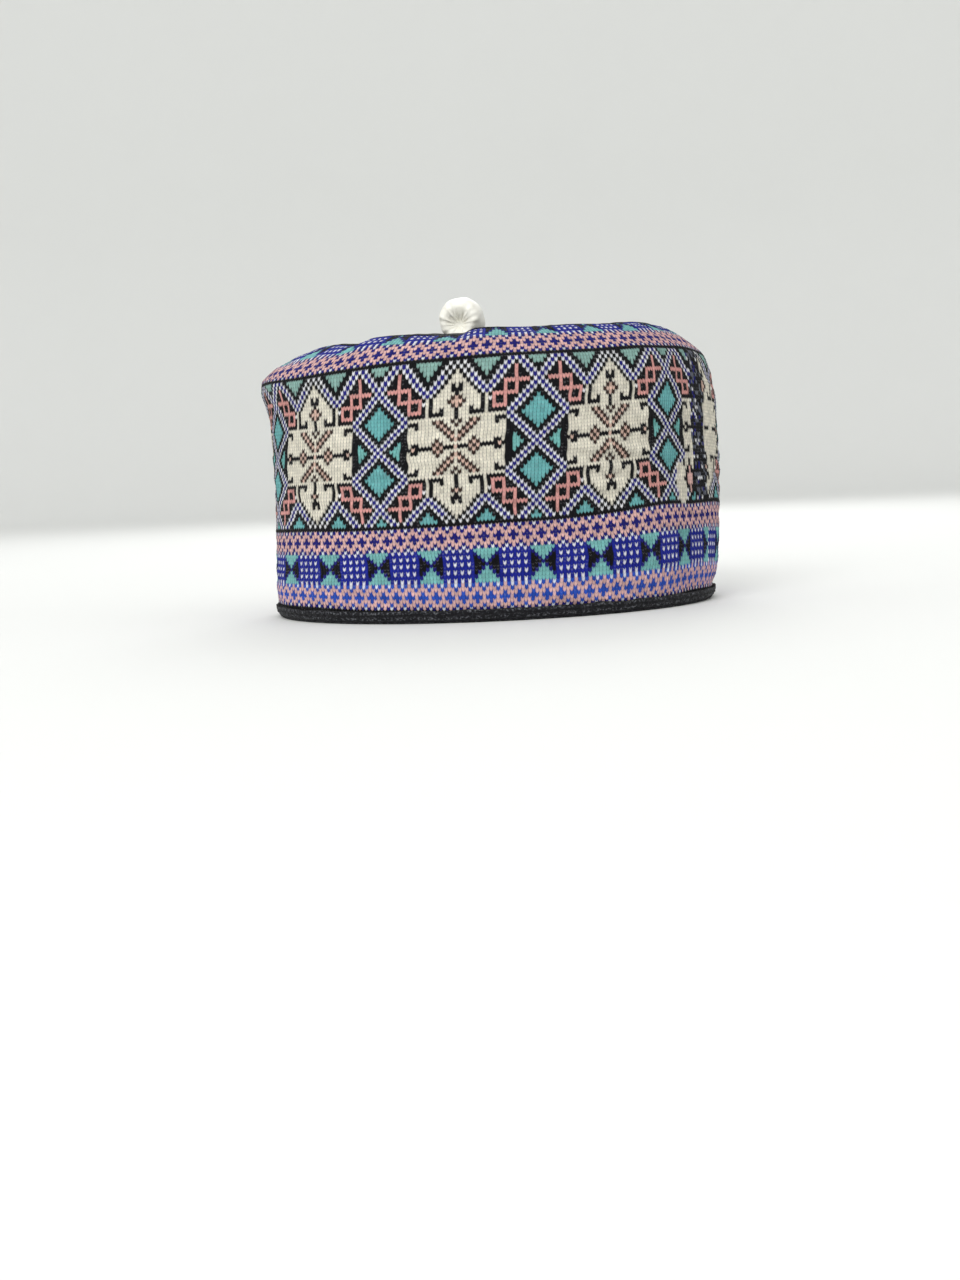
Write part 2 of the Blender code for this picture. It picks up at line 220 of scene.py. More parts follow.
class Finish:
    # A node material, with short methods that add its nodes
    def __init__(self, name, roughness, **shader):
        self.material = bpy.data.materials.new(name)
        self.material.use_nodes = True
        self.tree = self.material.node_tree
        self.shader = self.tree.nodes["Principled BSDF"]
        self.shader.inputs["Roughness"].default_value = roughness
        for socket, value in shader.items():
            self.shader.inputs[socket.replace("_", " ")].default_value = value

    def node(self, kind, settings=None, sockets=None, out=0):
        made = self.tree.nodes.new("ShaderNode" + kind)
        for key, value in (settings or {}).items():
            setattr(made, key, value)
        for key, value in (sockets or {}).items():
            self.feed(made.inputs[key], value)
        return Wire(self, made.outputs[out])

    def feed(self, socket, value):
        if isinstance(value, Wire):
            self.tree.links.new(value.socket, socket)
        else:
            socket.default_value = value

    def mix(self, share, first, second, blend="MIX"):
        return self.node("Mix", {"data_type": "RGBA", "blend_type": blend},
                         {0: share, 6: first, 7: second}, out=2)

    def noise(self, vector, scale, detail=2.0, roughness=0.5):
        return self.node("TexNoise", {}, {"Vector": vector, "Scale": scale, "Detail": detail,
                                          "Roughness": roughness})

    def putSurface(self, colour, bumpHeight, distance, strength, roughness):
        bump = self.node("Bump", {}, {"Height": bumpHeight, "Distance": distance, "Strength": strength})
        self.feed(self.shader.inputs["Base Color"], colour)
        self.feed(self.shader.inputs["Normal"], bump)
        self.feed(self.shader.inputs["Roughness"], roughness)


# The photograph's view: focal length and frame in pixels, angles in degrees, metres
viewPlan = {
    "focalPixels": 1521.0, "frameHeight": 1280.0, "sensor": 36.0,
    "azimuth": -7.5, "distance": 0.716, "height": 0.0594, "yaw": -0.71, "pitch": 6.05, "roll": -2.5,
}


def placeCamera():
    # The view is the photograph's: turned round the cap, then by yaw, pitch and roll
    azimuth, yaw, pitch, roll = (math.radians(viewPlan[k]) for k in ("azimuth", "yaw", "pitch", "roll"))
    ahead = np.array([-math.sin(azimuth), math.cos(azimuth), 0])
    right = np.array([math.cos(azimuth), math.sin(azimuth), 0])
    up = np.array([0.0, 0.0, 1.0])
    ahead, right = (ahead * math.cos(yaw) + right * math.sin(yaw), right * math.cos(yaw) - ahead * math.sin(yaw))
    ahead, up = (ahead * math.cos(pitch) - up * math.sin(pitch), up * math.cos(pitch) + ahead * math.sin(pitch))
    right, up = (right * math.cos(roll) + up * math.sin(roll), up * math.cos(roll) - right * math.sin(roll))
    lens = bpy.data.cameras.new("camera")
    lens.sensor_width = viewPlan["sensor"]
    lens.lens = viewPlan["sensor"] * viewPlan["focalPixels"] / viewPlan["frameHeight"]
    lens.clip_start, lens.clip_end = 0.02, 20
    made = bpy.data.objects.new("camera", lens)
    bpy.context.scene.collection.objects.link(made)
    turn = np.eye(4)
    turn[:3, 0], turn[:3, 1], turn[:3, 2] = right, up, -ahead
    turn[:3, 3] = (math.sin(azimuth) * viewPlan["distance"], -math.cos(azimuth) * viewPlan["distance"],
                   viewPlan["height"])
    made.matrix_world = turn.T.tolist()
    bpy.context.scene.camera = made


studio = {
    "floorFlat": 2.7, "bendRadius": 0.8, "wallTop": 3.0,
    "floorColour": (228, 229, 227),
    "worldColour": (1.0, 1.0, 1.0), "worldStrength": 0.92,
    # place, aim, size, watts
    "lamps": (
        ("key_lamp", (-1.35, -2.20, 1.65), (0, 0, 0.07), 1.6, 49),
        ("fill_lamp", (2.00, -1.30, 1.05), (0, 0, 0.06), 1.6, 4),
        ("back_lamp", (0.3, 1.3, 1.1), (0, 0, 0.08), 1.0, 8),
    ),
}


def buildStudio():
    # A flat floor whose edge bends up into a round wall, turned about Z
    around = 96
    bend = np.linspace(0, np.pi / 2, 13)
    reach = np.concatenate([[0.02, 0.5, 1.0], studio["floorFlat"] + studio["bendRadius"] * np.sin(bend)])
    height = np.concatenate([[0, 0, 0], studio["bendRadius"] * (1 - np.cos(bend))])
    reach, height = np.append(reach, reach[-1]), np.append(height, studio["wallTop"])
    angles = np.arange(around) * 2 * np.pi / around
    points = np.stack(np.broadcast_arrays(reach * np.cos(angles[:, None]), reach * np.sin(angles[:, None]),
                                          height[None, :]), axis=-1)
    centre = points[:, :1].mean(0)
    faces = gridFaces(around, len(reach))
    here, onward = np.arange(around), (np.arange(around) + 1) % around
    fans = np.stack([np.full(around, points.size // 3), here * len(reach), onward * len(reach)], axis=-1)
    plain = Finish("studioPaper", 0.85)
    paper = (*linear(studio["floorColour"]), 1)
    place = plain.node("TexCoord", out=3)
    grain = plain.noise(place, 3.0)
    plain.feed(plain.shader.inputs["Base Color"],
               plain.mix(grain * 0.08, paper, tuple(v * 0.8 for v in paper[:3]) + (1,)))
    floor = putMesh("floor", np.concatenate([points.reshape(-1, 3), centre]), faces[:, ::-1], fans,
                    plain.material)
    bpy.context.scene.view_settings.view_transform = "Standard"
    world = bpy.data.worlds.new("studioWorld")
    bpy.context.scene.world = world
    world.use_nodes = True
    sky = world.node_tree.nodes["Background"]
    sky.inputs["Color"].default_value = (*studio["worldColour"], 1)
    sky.inputs["Strength"].default_value = studio["worldStrength"]
    for name, place, aim, size, watts in studio["lamps"]:
        lamp = bpy.data.lights.new(name, "AREA")
        lamp.shape, lamp.size, lamp.energy = "DISK", size, watts
        made = bpy.data.objects.new(name, lamp)
        bpy.context.scene.collection.objects.link(made)
        back = np.array(place, float) - np.array(aim, float)
        back /= np.linalg.norm(back)
        right = np.cross((0, 0, 1), back)
        right /= np.linalg.norm(right)
        turn = np.eye(4)
        turn[:3, 0], turn[:3, 1], turn[:3, 2], turn[:3, 3] = right, np.cross(back, right), back, place
        made.matrix_world = turn.T.tolist()


placeCamera()
buildStudio()
print("Cap: camera, floor and lights placed")


# The patterned knit: counts of stitches, shares of cloth, and lengths in metres
knitPlan = {
    "stitchesRound": 396,      # nine repeats of 44, the seam strip among them
    "seamColumn": 80,          # the seam strip starts here and is 8 stitches wide
    "seamWidth": 8,
    "medallionAngle": -105.2,  # where column 0 stands, in degrees
    "midRowCloth": 0.5725,
    # rows count up from the middle of the medallions
    "rowEdges": (-44.5, -21.5, 22.5, 35.5),
    "rowCloth": (0.055, 0.3042, 0.8410, 1.0),
    "hiddenRows": 3,           # rows inside the rim tape
    "vLift": 0.27,             # how far a stitch's sides stand above its middle, in rows
    "waleGroove": 0.00030, "rowGroove": 0.00010, "stitchJitter": 0.00005,
    "waleWander": 0.10, "wave": 0.00022,
    "innerRows": 7,
    "toneSpread": 0.08, "reverseColour": (120, 116, 118),
}

# Where the cloth is pulled: for each column, shifts of the stitches in columns and in rows
driftRows = np.array([-45.0, -33, -20, -11, -2, 7, 16, 22.5, 36])
driftColumns = np.array([-110.0, -66, -50, -34, -18, -2, 14, 30, 46, 62, 78, 96, 130])
driftAcross = np.array([
    (0, 0, 0, 0, 0, 0, 0, 0, 0),
    (-5.0, -5.0, -4.5, -4.4, -3.2, 0.2, 2.6, 0, 0),
    (-0.1, -0.1, -1.0, -1.3, -0.6, 0.6, 1.5, 2.5, 2.0),
    (2.0, 2.2, 0.7, 0.3, 0.8, 1.6, 1.9, 2.0, 1.6),
    (2.2, 2.2, 0.7, 0.8, 1.0, 1.4, 1.7, 2.3, 2.8),
    (1.4, 1.4, 0.6, 0.8, 1.0, 1.5, 2.0, 2.6, 3.3),
    (0.7, 1.0, 0.4, 0.6, 0.8, 1.7, 2.5, 2.8, 3.4),
    (0.7, 0.8, 0.1, 0.4, 1.0, 2.0, 3.1, 3.4, 3.1),
    (2.0, 2.3, 0.3, 0.2, 0.4, 1.0, 2.3, 3.1, 3.6),
    (2.6, 2.7, 0.9, -0.1, -0.2, 0.4, 1.9, 2.8, 2.9),
    (0.2, 0.2, -1.4, -2.4, -3.0, -2.5, -0.9, -0.2, 1.5),
    (0, 0, -1.2, -2.6, -3.2, -2.6, -0.8, -0.4, 0),
    (0, 0, 0, 0, 0, 0, 0, 0, 0)])
driftUp = np.array([
    (0, 0, 0, 0, 0, 0, 0, 0, 0),
    (-0.6, -0.2, 0.2, 0.5, -0.2, -0.6, -0.7, 0, 0),
    (-0.4, -0.3, 0.1, 0.3, -0.9, -1.4, -1.3, -1.0, 0),
    (-1.1, -0.2, -0.6, -0.4, -1.6, -2.2, -2.1, -0.9, 0),
    (-1.4, 0, -0.9, -1.3, -2.2, -2.9, -2.5, -0.6, 0),
    (-2.0, 0, -0.9, -1.3, -2.2, -2.6, -2.1, -0.6, 0),
    (-2.1, 0, -0.6, -0.9, -1.7, -2.1, -1.3, 0, 0),
    (-2.1, 0, -0.4, -0.6, -1.2, -1.6, -0.8, 0.2, 0),
    (-2.1, 0.2, 0.1, -0.1, -0.8, -1.0, -0.5, 0.4, 0),
    (-1.8, 0.4, 0.6, 0.4, -0.3, -0.9, -0.2, 0.5, 0),
    (-0.8, 0.4, -0.2, 0, -0.7, -1.3, -0.8, 0.1, 0),
    (-0.8, 0, 0.2, -0.1, -0.9, -1.4, -0.6, 0, 0),
    (0, 0, 0, 0, 0, 0, 0, 0, 0)])

# Yarns, as sRGB: the knit's chart names them by number
yarns = {
    "black": (15, 15, 19), "cream": (234, 228, 212), "white": (246, 246, 250), "blue": (30, 30, 118),
    "teal": (120, 188, 184), "tealDeep": (112, 182, 184), "tealPale": (142, 180, 172), "salmon": (220, 158, 152),
    "pink": (231, 187, 180), "brown": (58, 44, 40), "royal": (28, 38, 146), "rose": (222, 188, 172),
    "slate": (96, 100, 112), "azure": (44, 82, 188), "tealWorn": (126, 192, 190),
}
# How far dark yarn closes in on a paler stitch beside it, by that stitch's yarn
yarnGivesWay = {"white": 0.48, "cream": 0.50, "salmon": 0.15, "pink": 0.30, "teal": 0.35, "tealDeep": 0.35,
                "tealPale": 0.35, "tealWorn": 0.30, "rose": 0.25}
yarnNumber = {name: number for number, name in enumerate(yarns)}


def driftAt(table, columns, rows):
    # The table's shift at each column and row: an eased curve through the columns, and
    # steps between the rows that are partly eased. Columns are counted from the far side
    farSide, easedPart = 150, 0.35
    turned = np.mod(columns + farSide, knitPlan["stitchesRound"]) - farSide
    turned = np.clip(turned, driftColumns[0], driftColumns[-1])
    byRow = np.stack([eased(driftColumns, table[:, k], turned) for k in range(len(driftRows))], axis=-1)
    at = np.clip(rows, driftRows[0], driftRows[-1])
    low = np.clip(np.searchsorted(driftRows, at, side="right") - 1, 0, len(driftRows) - 2)
    share = (at - driftRows[low]) / (driftRows[low + 1] - driftRows[low])
    share = share * share * (3 - 2 * share) * easedPart + share * (1 - easedPart)
    first = np.take_along_axis(byRow, low[..., None], axis=-1)[..., 0]
    second = np.take_along_axis(byRow, low[..., None] + 1, axis=-1)[..., 0]
    return first * (1 - share) + second * share


def chartField():
    # The main field's chart, rows -21 to 22, columns -22 to 21 from a medallion's middle.
    # Each yarn is laid where a distance from a line or a centre has a given value
    r, c = np.mgrid[-21:23, -22:22]
    a, q = np.abs(c), np.abs(r)
    chart = np.full(r.shape, yarnNumber["black"])

    def lay(yarn, where):
        chart[where] = yarnNumber[yarn]

    # diagonals of the lattice: sum or difference of column and row, and the columns they cross
    lines = ((1, 22, 0, 8), (-1, 6, 8, 16), (1, 38, 16, 22), (-1, -6, 14, 22), (1, 22, 14, 22),
             (-1, -22, 14, 22), (1, 6, 14, 22), (-1, -38, 16, 22), (1, -6, 8, 16), (-1, -22, 0, 8))
    for yarn, off in (("white", 1), ("blue", 0)):
        for sign, total, first, last in lines:
            away = np.abs(r + sign * a - total)
            lay(yarn, (away == off) & (a >= first - off) & (a <= last + off))
    # near the peaks the blue gives way to black
    lay("black", (q >= 19) & (a <= 3) & (q + a == 22))
    # diamonds and triangles between the lattice's lines
    lay("tealDeep", np.abs(a - 22) + np.abs(q - 8) <= 4)
    lay("teal", (a >= 16) & (a + q <= 18))
    lay("tealPale", (np.abs(a - 8) <= r - 18) | (np.abs(a - 22) <= r - 19) & (r >= 20))
    lay("tealDeep", (np.abs(a - 8) <= -18 - r) | (np.abs(a - 22) <= -19 - r))
    # salmon hooks: two linked rings and the two lines that leave them
    ringA = (np.maximum(np.abs(a - 11.5), np.abs(q - 11.5)) == 1.5)
    ringB = (np.maximum(np.abs(a - 14.5), np.abs(q - 14.5)) == 1.5)
    tails = ((q == 16) & (a >= 16) & (a <= 19)) | ((a == 16) & (q >= 16) & (q <= 19))
    lay("salmon", ringA | ringB | tails)
    # the medallion's cream: petals above and below, block at the middle, bars beside the petals
    lay("cream", (q >= 8) & (a <= np.minimum(19 - q, 6)))
    lay("black", (q >= 10) & (q <= 13) & (a == 7))
    lay("cream", (q >= 8) & (q <= 13) & (a == 8))
    lay("black", ((q == 10) & ((a == 4) | (a == 7))) | ((q == 9) & (a >= 4) & (a <= 7)))
    lay("cream", (q <= 8) & (a <= 13))
    lay("black", ((q == 7) & (a >= 11)) & (a <= 13) | ((q == 6) & (a == 11)))
    lay("black", ((r == 0) & (a >= 7) & (a <= 13)) | ((q == 1) & (a >= 11) & (a <= 12)))
    lay("rose", (r == 0) & (a == 12))
    # the crossed stems and knots inside
    lay("brown", ((q == a + 1) & (a >= 1) & (a <= 6)) | ((q == a + 3) & (a >= 1) & (a <= 4)))
    lay("rose", (q == a + 2) & (a <= 5))
    lay("brown", (np.abs(a - 5) + q == 2) & (q > 0) | ((a == 5) & (q == 0)))
    lay("rose", (a == 5) & (q == 1) | ((a == 4) | (a == 6)) & (q == 0))
    lay("black", (r == 0) & (a >= 1) & (a <= 3))
    lay("rose", (r == 0) & (a == 0))
    lay("brown", ((a == 1) & (q == 7)) | ((a == 0) & (q == 6)))
    lay("black", ((a == 1) & (r == 16)) | ((a <= 1) & (r == 15)) | ((a == 0) & (r == 14)))
    lay("brown", ((a == 1) & ((r == 13) | (r == 11))) | ((r == 12) & (a == 2)))
    lay("rose", ((r == 12) & (a <= 1)) | ((a == 0) & ((r == 13) | (r == 11))))
    lay("black", (a == 0) & (r >= 8) & (r <= 10))
    lay("black", (a == 0) & (r <= -8) & (r >= -11))
    lay("rose", (a == 0) & (r == -12))
    lay("brown", (a == 1) & (r == -12))
    lay("black", (a == 0) & (r == -13) | (a <= 1) & (r == -14) | (a == 1) & (r == -15))
    lay("black", (r == -21) | (r == 22))
    return chart


def chartPinkBorder():
    # Seven rows of period 4 from the bottom: dotted edges, then a row of small stars
    b, w, p = (yarnNumber[k] for k in ("blue", "white", "pink"))
    edge, dots, arms, body = (p, b, w, b), (p, p, b, p), (b, p, p, p), (b, b, p, b)
    return np.array([edge, dots, arms, body, arms, dots, edge])


def chartBlueBand():
    # Nine rows of period 16: a blue block with white dots, then a teal hourglass on black
    r, c = np.mgrid[-4:5, 0:16]
    chart = np.full(r.shape, yarnNumber["black"])
    chart[(c <= 8)] = yarnNumber["royal"]
    chart[(c <= 8) & (c % 2 == 1) & (r % 2 == 0)] = yarnNumber["white"]
    far = np.abs(c - 12)
    chart[(c > 8) & (far <= np.abs(r) - 1)] = yarnNumber["tealWorn"]
    chart[(c > 8) & (far == np.abs(r))] = yarnNumber["blue"]
    return chart


def knitColours(rows, columns):
    # The yarn of each stitch: which zone its row is in, then that zone's repeat
    row, column = rows[None, :], columns[:, None]
    pattern = np.zeros((len(columns), len(rows)), int)
    field, border, band = chartField(), chartPinkBorder(), chartBlueBand()

    def use(chart, firstRow, shift):
        inside = (rows >= firstRow) & (rows < firstRow + len(chart))
        filled = chart[(rows[inside] - firstRow)[None, :], (column + shift) % chart.shape[1]]
        pattern[:, inside] = filled

    # each chart, its lowest row, and how far its columns are moved
    use(field, -21, 22)
    use(border, -28, 1)
    use(border, -44, 0)
    use(border, 23, 0)
    use(band, -37, 5)
    use(band, 30, 1)
    pattern[:, rows < -44] = yarnNumber["black"]
    # the lower border's stars are a lighter blue
    low = (row <= -38) & (pattern == yarnNumber["blue"])
    pattern[low & (row >= -43)] = yarnNumber["azure"]
    # beside the seam the last medallion is plain, with one small leaf below
    seamStart = knitPlan["seamColumn"]
    seamEnd = seamStart + knitPlan["seamWidth"] - knitPlan["stitchesRound"]
    plain = (column >= seamStart - 6) | (column <= seamEnd + 11)
    stems = (pattern == yarnNumber["brown"]) | (pattern == yarnNumber["rose"])
    pattern[plain & (np.abs(row) <= 9) & stems] = yarnNumber["cream"]
    lobe = ((column - seamStart + 8) / 3.2) ** 2 + ((row + 16) / 5.5) ** 2 < 1
    beside = (column >= seamStart - 5) & (column < seamStart)
    pattern[lobe | beside & (row <= -8) & (row >= -12)] = yarnNumber["cream"]
    leaf = np.abs(column - seamStart + 3) + np.abs(row + 15) * 0.6
    pattern[(leaf < 3.4) & (column < seamStart)] = yarnNumber["black"]
    pattern[(leaf < 1.9) & (column < seamStart)] = yarnNumber["pink"]
    # the seam strip: dark, grey, blue and white specks
    draw = np.random.default_rng(41).random(pattern.shape)
    dark = [yarnNumber[name] for name in ("black", "slate", "blue")]
    speck = np.select([draw < 0.60, draw < 0.82, draw < 0.92], dark, yarnNumber["white"])
    speck = np.where(row == 0, yarnNumber["black"], speck)
    inField = (row > -21) & (row < 22)
    return np.where((column >= seamStart) & inField, speck, pattern)


def cornerYarns(colours, gives):
    # Colours at a stitch's 3 by 3 corners: its own in the middle, and towards a darker
    # neighbour a share of that neighbour's, so that a pale stitch shrinks to a rounded drop
    light = colours.sum(-1)
    made = np.empty((*colours.shape[:2], 3, 3, 3))
    for x in range(3):
        for y in range(3):
            darkest, best = colours, light
            for across, up in ((x - 1, 0), (0, y - 1), (x - 1, y - 1)):
                beside = np.roll(colours, (-across, -up), axis=(0, 1))
                shade = beside.sum(-1)
                darkest = np.where((shade < best)[..., None], beside, darkest)
                best = np.minimum(shade, best)
            made[:, :, x, y] = colours + (darkest - colours) * gives[..., None]
    return made


def columnAngles(columns):
    # Angle of each column, so that equal numbers of stitches cover equal lengths of cloth
    around = np.linspace(-np.pi, np.pi, 2881)
    ring = bandOuter(around, np.full_like(around, knitPlan["midRowCloth"]))
    length = np.concatenate([[0], np.cumsum(np.linalg.norm(np.diff(ring, axis=0), axis=1))])
    start = np.interp(math.radians(knitPlan["medallionAngle"]), around, length)
    wanted = start + columns * length[-1] / knitPlan["stitchesRound"]
    turns = np.floor(wanted / length[-1])
    return np.interp(wanted - turns * length[-1], length, around) + turns * 2 * np.pi


def rowCloth(rows):
    edges, cloth = np.array(knitPlan["rowEdges"]), np.array(knitPlan["rowCloth"])
    below = cloth[0] + (rows - edges[0]) * (cloth[1] - cloth[0]) / (edges[1] - edges[0])
    return np.where(rows < edges[0], below, np.interp(rows, edges, cloth))


def buildKnit(name, firstRow, lastRow, folds, material):
    # A tube of stitches: two columns and two rows of faces each. Where two wales meet the
    # surface lies lower and the rows stand higher, which draws every stitch as a V
    count = knitPlan["stitchesRound"]
    rows = np.arange(firstRow, lastRow + 1)
    halfColumns = np.arange(2 * count)
    halfRows = np.arange(2 * len(rows) + 1)
    firstColumn = knitPlan["seamColumn"] + knitPlan["seamWidth"] - count
    columnAt = firstColumn - 0.5 + halfColumns[:, None] / 2
    rowAt = firstRow - 0.5 + halfRows[None, :] / 2
    side = np.where(halfColumns % 2 == 0, 1.0, -1.0)[:, None]
    turn = (halfColumns / len(halfColumns))[:, None]
    tall = rowAt / 80
    wander = knitPlan["waleWander"] * softNoise(5, turn, tall, 12, 4, 30)
    lift = np.clip((knitPlan["rowEdges"][3] - rowAt) / 1.5, 0, 1) * knitPlan["vLift"]
    atColumn, atRow = np.broadcast_arrays(columnAt, rowAt)
    angles = columnAngles(columnAt + wander + driftAt(driftAcross, atColumn, atRow))
    cloth = rowCloth(rowAt + side * lift + driftAt(driftUp, atColumn, atRow))
    cloth = np.clip(cloth, 0.004, 1.0)
    smooth, normal = bandOuter(angles, cloth), bandNormal(angles, cloth)
    draw = np.random.default_rng(17)
    # one table of jitter for every zone, looked up by half rows counted from row -60
    jitterRows = 200
    jitter = draw.normal(size=(2 * count, jitterRows))[:, (halfRows + 2 * (firstRow + 60)) % jitterRows]
    relief = (-knitPlan["waleGroove"] * np.where(side > 0, 1.0, 0.0)
              - knitPlan["rowGroove"] * np.where(halfRows % 2 == 0, 1.0, 0.0)[None, :]
              + knitPlan["stitchJitter"] * jitter
              + knitPlan["wave"] * softNoise(9, turn, tall, 14, 3, 17))
    outer = smooth + normal * relief[..., None]
    # the reverse starts and ends under the outer face's own edges
    share = np.linspace(0, 1, knitPlan["innerRows"])[None, :]
    innerAngles = angles[:, -1:] * (1 - share) + angles[:, :1] * share
    innerCloth = cloth[:, -1:] * (1 - share) + cloth[:, :1] * share
    inner = (bandOuter(innerAngles, innerCloth)
             - (capSizes["bandWall"] - 0.0001) * bandNormal(innerAngles, innerCloth))
    points = np.concatenate([outer, inner], axis=1)
    across = points.shape[1]
    faces = gridFaces(2 * count, across, closeAcross=True)
    piece = putMesh(name, points.reshape(-1, 3), faces, None, material)
    mesh = piece.data

    # the yarn of each face: outer faces by their stitch, the reverse in one greyish tone
    i, j = np.divmod(np.arange(len(faces)), across)
    isOuter = j < 2 * len(rows)
    uStep, vStep = np.array([0, 1, 1, 0]), np.array([0, 0, 1, 1])
    pattern = knitColours(np.arange(firstRow - 1, lastRow + 2), np.arange(count) + firstColumn)
    palette = np.array([linear(colour) for colour in yarns.values()])
    tone = 1 + knitPlan["toneSpread"] * draw.normal(size=pattern.shape)[..., None]
    gives = np.array([yarnGivesWay.get(name, 0) for name in yarns])[pattern]
    drops = cornerYarns(palette[pattern] * tone, gives)[:, 1:-1]
    corner = np.ones((len(faces), 4, 4))
    corner[..., :3] = linear(knitPlan["reverseColour"])
    halfUp = np.minimum(j, 2 * len(rows) - 1)
    outerCorner = drops[(i // 2)[:, None], (halfUp // 2)[:, None],
                        (i % 2)[:, None] + uStep, (halfUp % 2)[:, None] + vStep]
    corner[..., :3] = np.where(isOuter[:, None, None], outerCorner, corner[..., :3])
    attribute = mesh.color_attributes.new("yarn", "FLOAT_COLOR", "CORNER")
    attribute.data.foreach_set("color", np.clip(corner, 0, 1).astype(np.float32).ravel())

    # stitch coordinates for the bump, and the folded map for the bake
    ends = across - 2 * len(rows) - 1
    vOuter = j[:, None] + vStep
    vInner = (j[:, None] - 2 * len(rows) + vStep)
    u = (i[:, None] + uStep) / 2
    v = np.where(isOuter[:, None], vOuter / 2, vInner * (len(rows) / (ends + 1)))
    putUv(piece, "stitches", np.stack([u, v], axis=-1))
    strip = 2 * count // folds
    fold = i // strip
    bakeU = (i[:, None] - fold[:, None] * strip + uStep) / strip
    margin, outerPart = 0.002, 0.88
    outerShare, innerShare = outerPart / folds, (1 - outerPart) / folds
    bakeV = np.where(isOuter[:, None],
                     fold[:, None] * outerShare + margin + (outerShare - 2 * margin) * vOuter / (2 * len(rows)),
                     outerPart + fold[:, None] * innerShare + margin
                     + (innerShare - 2 * margin) * vInner / (ends + 1))
    putUv(piece, "OFBake", np.stack([margin + (1 - 2 * margin) * bakeU, bakeV], axis=-1))
    # the cut edges don't round off into the face, so neighbouring zones meet without a shade
    flat = mesh.attributes.new("sharp_face", "BOOLEAN", "FACE")
    flat.data.foreach_set("value", (j == 2 * len(rows)) | (j == across - 1))
    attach(piece, "root")
    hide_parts("band")
    print(f"Cap: {name}, {len(faces) * 2} triangles")


def knitFinish():
    # Each stitch has two legs: their rounded backs, a ply twist and loose fibres make the bump,
    # and shade is painted into the grooves between wales, at the row edges and down each stitch's middle
    wool = Finish("patternedKnit", 0.9, Sheen_Weight=0.03, Sheen_Roughness=0.45, Specular_IOR_Level=0.15)
    place = wool.node("UVMap", {"uv_map": "stitches"})
    split = wool.node("SeparateXYZ", {}, {0: place})
    u, v = split, Wire(wool, split.socket.node.outputs[1])
    leg = abs((u * 2).part() - 0.5) * 2            # 0 on a leg's back, 1 at its edges
    wale = abs(u.part() - 0.5) * 2                 # 0 in the stitch's middle, 1 between wales
    rowEdge = abs(v.part() - 0.5) * 2
    legBack = (1 - leg * leg).maths("SQRT")
    rowBack = 1 - rowEdge ** 6
    twist = ((v * 5 + wale * 3) * (2 * math.pi)).sine()
    coords = wool.node("TexCoord", out=3)
    fibres = wool.noise(coords, 1900.0, 3.0, 0.6)
    clumps = wool.noise(coords, 260.0, 2.0)
    stain = wool.noise(coords, 22.0, 3.0)
    height = legBack * 0.75 * (rowBack * 0.6 + 0.4) + twist * 0.08 + fibres * 0.35
    yarn = wool.node("Attribute", {"attribute_name": "yarn"})
    # painted shade: darker between the wales, at the row edges and down each stitch's middle; the clumps and the stain
    # add a random tone
    shade = 1 - (wale ** 4) * 0.60 - (rowEdge ** 8) * 0.34 - (1 - wale) ** 6 * 0.18
    shade = shade * (0.86 + clumps * 0.28) * (0.95 + stain * 0.10)
    # the yarn colour times the painted shade
    shadedYarn = wool.mix(1.0, yarn, wool.node("CombineXYZ", {}, {0: shade, 1: shade, 2: shade}), "MULTIPLY")
    # flecks of the yarns carried behind show between the loops
    specks = wool.node("TexWhiteNoise", {"noise_dimensions": "2D"},
                       {"Vector": wool.node("VectorMath", {"operation": "FLOOR"}, {0: place})})
    tip = rowEdge.maths("GREATER_THAN", 0.55) * (1 - wale).maths("GREATER_THAN", 0.35)
    fleck = tip * specks.maths("GREATER_THAN", 0.72) * 0.12
    flecked = wool.mix(fleck, shadedYarn, (0.45, 0.45, 0.48, 1))
    wool.putSurface(flecked, height, 0.0004, 0.9, 0.80 + fibres * 0.16)
    return wool.material


knitWool = knitFinish()
buildKnit("knit_lower_border", -44 - knitPlan["hiddenRows"], -22, 2, knitWool)
buildKnit("knit_main_field", -21, 22, 3, knitWool)
buildKnit("knit_shoulder_border", 23, 35, 1, knitWool)


# The rim tape, in metres; colours are sRGB
tapePlan = {
    "around": 720, "ribs": 6, "ribDepth": 0.00032, "waviness": 0.00022, "outerHeight": 0.0055,
    "outlinePoints": 43,
    "colour": (20, 20, 24), "fleck": (128, 130, 136),
}
# Corners of the folded tape's section, outside edge first: across, up, which height, curl share
tapeOutline = (
    (0.00, 1.00, "tapeOuterHeight", 0.00), (-0.03, 0.60, "tapeOuterHeight", 0.25),
    (0.03, 0.22, "tapeOuterHeight", 0.70), (0.24, 0.00, "tapeOuterHeight", 1.00),
    (0.76, 0.00, "tapeInnerHeight", 1.00), (0.97, 0.18, "tapeInnerHeight", 0.75),
    (1.03, 0.55, "tapeInnerHeight", 0.30), (1.00, 1.00, "tapeInnerHeight", 0.00),
)


